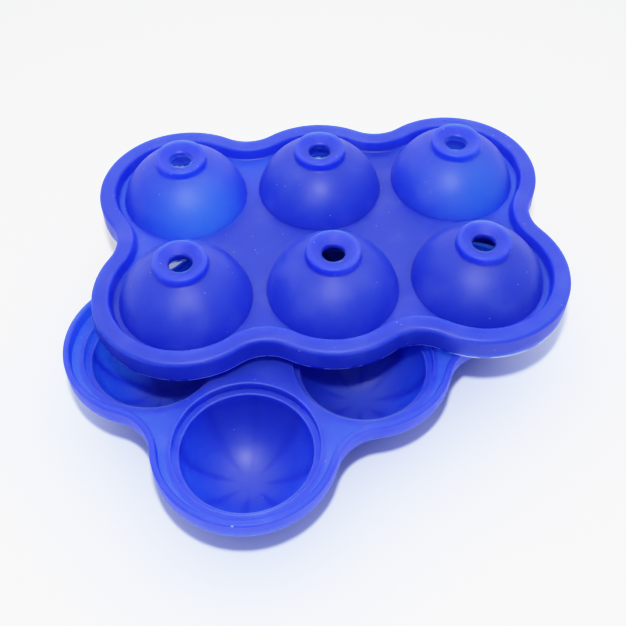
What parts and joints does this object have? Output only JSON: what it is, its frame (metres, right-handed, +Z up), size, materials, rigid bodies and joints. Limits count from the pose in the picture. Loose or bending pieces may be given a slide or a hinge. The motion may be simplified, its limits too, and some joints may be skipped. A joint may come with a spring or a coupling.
{
  "type": "ice ball mold",
  "caption": "Silicone ice ball mould: a tray of hemispherical cups with a curb, and a lid of domes with filling holes, laid askew on the tray.",
  "frame": {"origin": "under the middle of the whole thing, on the surface that the tray's feet stand on", "axes": "+X along the tray's long side, +Z up, +Y across the tray towards its back"},
  "size_m": [0.2039, 0.175, 0.0607],
  "materials": {
    "silicone": "satin"
  },
  "bodies": {
    "root": {"tray": "silicone", "lid": "silicone"}
  },
  "joints": []
}
